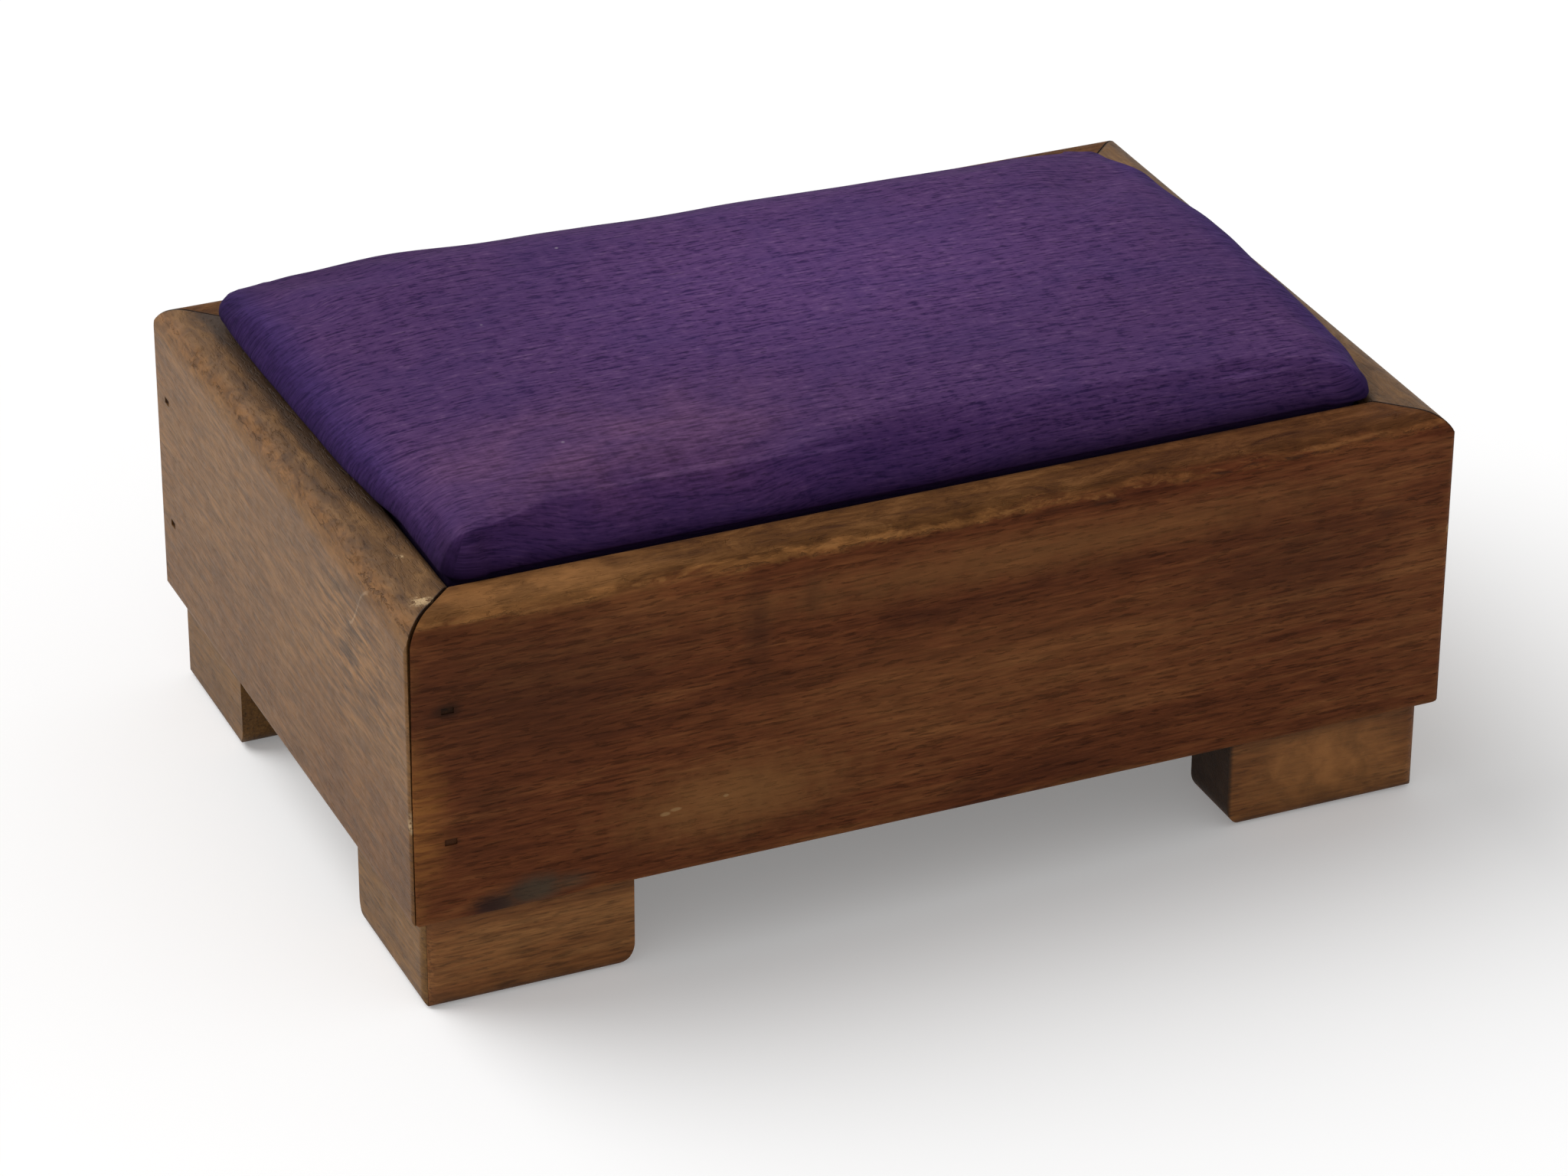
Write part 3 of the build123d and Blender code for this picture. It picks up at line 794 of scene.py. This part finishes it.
# Levels from the turned-under edge, up the side, over the bulge and the rounded edge
rings = [
    level_ring(turn_under - step * turn_under / under_levels, pad_bottom)
    for step in range(under_levels)
]
rings += [
    level_ring(0.0004, pad_bottom + 0.0008),
    level_ring(0.0, pad_bottom + 0.004),
    level_ring(0.0, pad_bottom + 0.010),
    level_ring(0.0, rail_top - 0.0006),
    rising_ring(0.55, 0.35),
    rising_ring(0.90, 0.68),
]
rings += [roll_ring(step) for step in range(roll_levels)]
round_count = len(rings[0])
vertices = [tuple(point) for outline in rings for point in outline]
quads = []
for row in range(len(rings) - 1):
    low = row * round_count
    high = low + round_count
    for i in range(round_count):
        j = (i + 1) % round_count
        quads.append((low + i, low + j, high + j, high + i))

# Top: a net across the last ring, rising to the crown
last = (len(rings) - 1) * round_count
front_side = [last + i for i in range(count_x + 1)]
right_side = [last + count_x + i for i in range(count_y + 1)]
back_side = [last + count_x + count_y + i for i in range(count_x + 1)]
left_side = [last + 2 * count_x + count_y + i for i in range(count_y)] + [last]
crown_rise = 0.0030
net = {}
for i in range(count_x + 1):
    net[i, 0] = front_side[i]
    net[i, count_y] = back_side[count_x - i]
for j in range(count_y + 1):
    net[count_x, j] = right_side[j]
    net[0, j] = left_side[count_y - j]
corner_points = {(i, j): np.array(vertices[net[i, j]]) for i in (0, count_x) for j in (0, count_y)}
for i in range(1, count_x):
    for j in range(1, count_y):
        u = (shares_x[i] + 1) / 2
        v = (shares_y[j] + 1) / 2
        point = (1 - v) * np.array(vertices[net[i, 0]]) + v * np.array(vertices[net[i, count_y]])
        point += (1 - u) * np.array(vertices[net[0, j]]) + u * np.array(vertices[net[count_x, j]])
        point -= (1 - u) * (1 - v) * corner_points[0, 0] + u * (1 - v) * corner_points[count_x, 0]
        point -= (1 - u) * v * corner_points[0, count_y] + u * v * corner_points[count_x, count_y]
        rise_x = 1 - (2 * u - 1) ** 4
        rise_y = 1 - (2 * v - 1) ** 4
        point[2] += crown_rise * rise_x * rise_y
        net[i, j] = len(vertices)
        vertices.append(tuple(point))
for i in range(count_x):
    for j in range(count_y):
        quads.append((net[i, j], net[i + 1, j], net[i + 1, j + 1], net[i, j + 1]))

mesh = bpy.data.meshes.new("seat_pad")
mesh.from_pydata(vertices, [], quads)
pad = bpy.data.objects.new("seat_pad", mesh)
bpy.context.scene.collection.objects.link(pad)

# Flat pattern of the fabric, in metres, for the weave: it runs on over the edges, with a seam at
# each corner
rest = np.array(vertices)
middle = np.array([outline[count_x // 2] for outline in rings])
steps = np.linalg.norm(np.diff(middle, axis=0), axis=1)
down = np.append(np.cumsum(steps[::-1])[::-1], 0.0)
pattern = mesh.uv_layers.new(name="cloth")
for polygon in mesh.polygons:
    side = polygon.index % round_count
    for loop, v in zip(polygon.loop_indices, polygon.vertices):
        x, y = rest[v][:2]
        if polygon.index < last:
            x, y = rings[-1][v % round_count][:2]
            drop = down[v // round_count]
            if side < count_x:
                y -= drop
            elif side < count_x + count_y:
                x += drop
            elif side < 2 * count_x + count_y:
                y += drop
            else:
                x -= drop
        pattern.data[loop].uv = (x, y)


def inflate(obj, free_above, cap):
    """Points of the fabric blown out by a cloth simulation, held below a height.

    No point moves by more than the cap.
    """
    before = np.array([v.co for v in obj.data.vertices])
    held = obj.vertex_groups.new(name="held")
    for vertex in obj.data.vertices:
        grip = 1.0 if vertex.co.z < free_above else 0.0
        held.add([vertex.index], grip, "REPLACE")
    cloth_mod = obj.modifiers.new("stuffing", "CLOTH")
    settings = cloth_mod.settings
    settings.vertex_group_mass = "held"
    settings.quality = 5
    settings.mass = 0.15
    settings.tension_stiffness = 25
    settings.compression_stiffness = 20
    settings.shear_stiffness = 10
    settings.bending_stiffness = 0.3
    settings.use_pressure = True
    settings.uniform_pressure_force = 4.0
    settings.effector_weights.gravity = 0.0
    cloth_mod.collision_settings.use_collision = False
    scene = bpy.context.scene
    sim_frames = 20
    cloth_mod.point_cache.frame_start = 1
    cloth_mod.point_cache.frame_end = sim_frames
    for number in range(1, sim_frames + 1):
        scene.frame_set(number)
    shaped = obj.evaluated_get(bpy.context.evaluated_depsgraph_get())
    after = np.array([v.co for v in shaped.data.vertices])
    obj.modifiers.remove(cloth_mod)
    obj.vertex_groups.clear()
    scene.frame_set(1)
    move = after - before
    size = np.linalg.norm(move, axis=1, keepdims=True)
    move *= np.minimum(1.0, cap / np.maximum(size, 1e-9))
    return before + move


blown = inflate(pad, free_above=rail_top + 0.0035, cap=0.0012)
mesh.vertices.foreach_set("co", blown.ravel())
mesh.update()

# One subdivision, then the uneven stuffing and the folded corners
smooth = pad.modifiers.new("smooth", "SUBSURF")
smooth.levels = 1
smooth.render_levels = 1
shaped_pad = pad.evaluated_get(bpy.context.evaluated_depsgraph_get())
pad_mesh = bpy.data.meshes.new_from_object(shaped_pad)
pad.modifiers.clear()
pad.data = pad_mesh
pad_mesh.name = "seat_pad"
points = np.array([v.co for v in pad_mesh.vertices])
lifted = points.copy()
wave_height = 0.0008
fold_height = 0.0013
fold_x = edge_x - 0.0103
fold_y = edge_y - 0.012
fold_start = 0.0010
for k, (x, y, z) in enumerate(points):
    above = min(1.0, max(0.0, (z - rail_top - 0.002) / 0.008))
    lifted[k, 2] += above * wave_height * noise.noise(Vector((x * 16, y * 20, 3.0)))
    # Corner folds: the flap from the short end lies over the long side
    over_x = abs(x) - fold_x
    near_side = abs(y) - fold_y
    if over_x > -fold_start and near_side > 0 and z > rail_top - 0.006:
        flap = min(1.0, (over_x + fold_start) / 0.0016) * min(1.0, near_side / 0.005)
        fade = min(1.0, max(0.0, (rail_top + 0.0125 - z) / 0.004))
        lifted[k, 1] += np.sign(y) * fold_height * flap * fade
pad_mesh.vertices.foreach_set("co", lifted.ravel())
pad_mesh.shade_smooth()
pad_mesh.update()
pad_mesh.materials.clear()
pad_mesh.materials.append(seat_weave())
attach(pad, "seat")
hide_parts("seat_cover", "seat_padding")


# Floor, light and camera
def seen_directly(tree):
    """1 for rays from the camera, also mirrored or passed on, and 0 for other light."""
    path = tree.nodes.new("ShaderNodeLightPath")
    seen = path.outputs["Is Camera Ray"]
    for kind in ("Is Glossy Ray", "Is Transmission Ray"):
        either = tree.nodes.new("ShaderNodeMath")
        either.operation = "MAXIMUM"
        tree.links.new(seen, either.inputs[0])
        tree.links.new(path.outputs[kind], either.inputs[1])
        seen = either.outputs[0]
    return seen


floor_mesh = bpy.data.meshes.new("floor")
floor_mesh.from_pydata([(-4, -4, 0), (4, -4, 0), (4, 4, 0), (-4, 4, 0)], [], [(0, 1, 2, 3)])
floor = bpy.data.objects.new("floor", floor_mesh)
bpy.context.scene.collection.objects.link(floor)
floor_material = bpy.data.materials.new("floor")
floor_material.use_nodes = True
tree = floor_material.node_tree
tree.nodes.clear()
output = tree.nodes.new("ShaderNodeOutputMaterial")
matt = tree.nodes.new("ShaderNodeBsdfDiffuse")
matt.inputs["Color"].default_value = (0.84, 0.84, 0.84, 1)
glow = tree.nodes.new("ShaderNodeEmission")
both = tree.nodes.new("ShaderNodeAddShader")
lift = tree.nodes.new("ShaderNodeMath")
lift.operation = "MULTIPLY"
lift.inputs[1].default_value = 0.20
tree.links.new(seen_directly(tree), lift.inputs[0])
tree.links.new(lift.outputs[0], glow.inputs["Strength"])
tree.links.new(matt.outputs[0], both.inputs[0])
tree.links.new(glow.outputs[0], both.inputs[1])
tree.links.new(both.outputs[0], output.inputs["Surface"])
floor_mesh.materials.append(floor_material)

world = bpy.data.worlds.new("studio")
bpy.context.scene.world = world
world.use_nodes = True
tree = world.node_tree
tree.nodes.clear()
output = tree.nodes.new("ShaderNodeOutputWorld")
sky = tree.nodes.new("ShaderNodeBackground")
strength = tree.nodes.new("ShaderNodeMapRange")
strength.inputs["To Min"].default_value = 0.50
strength.inputs["To Max"].default_value = 1.0
tree.links.new(seen_directly(tree), strength.inputs["Value"])
tree.links.new(strength.outputs[0], sky.inputs["Strength"])
sky.inputs["Color"].default_value = (1.0, 1.0, 1.0, 1)
tree.links.new(sky.outputs[0], output.inputs["Surface"])

key_light = bpy.data.lights.new("key", "SUN")
key_light.energy = 2.1
key_light.angle = 0.9
key = bpy.data.objects.new("key", key_light)
bpy.context.scene.collection.objects.link(key)
key.rotation_euler = Vector((-0.50, 0.48, 0.72)).to_track_quat("Z", "Y").to_euler()

# Camera fitted to the stool's edges
sensor_width = 36.0
focal_pixels = 7445.57
frame_pixels = 2048
camera_data = bpy.data.cameras.new("camera")
camera_data.sensor_fit = "HORIZONTAL"
camera_data.sensor_width = sensor_width
camera_data.lens = sensor_width * focal_pixels / frame_pixels
camera_data.shift_x = 0.0482
camera_data.shift_y = -0.0026
camera_data.clip_end = 50.0
camera = bpy.data.objects.new("camera", camera_data)
bpy.context.scene.collection.objects.link(camera)
camera.matrix_world = Matrix((
    (0.920767, 0.187957, -0.341847, -0.657896),
    (-0.390106, 0.438647, -0.809572, -1.489635),
    (-0.002215, 0.878784, 0.477215, 0.938154),
    (0.0, 0.0, 0.0, 1.0),
))
bpy.context.scene.camera = camera
bpy.context.scene.view_settings.view_transform = "Standard"
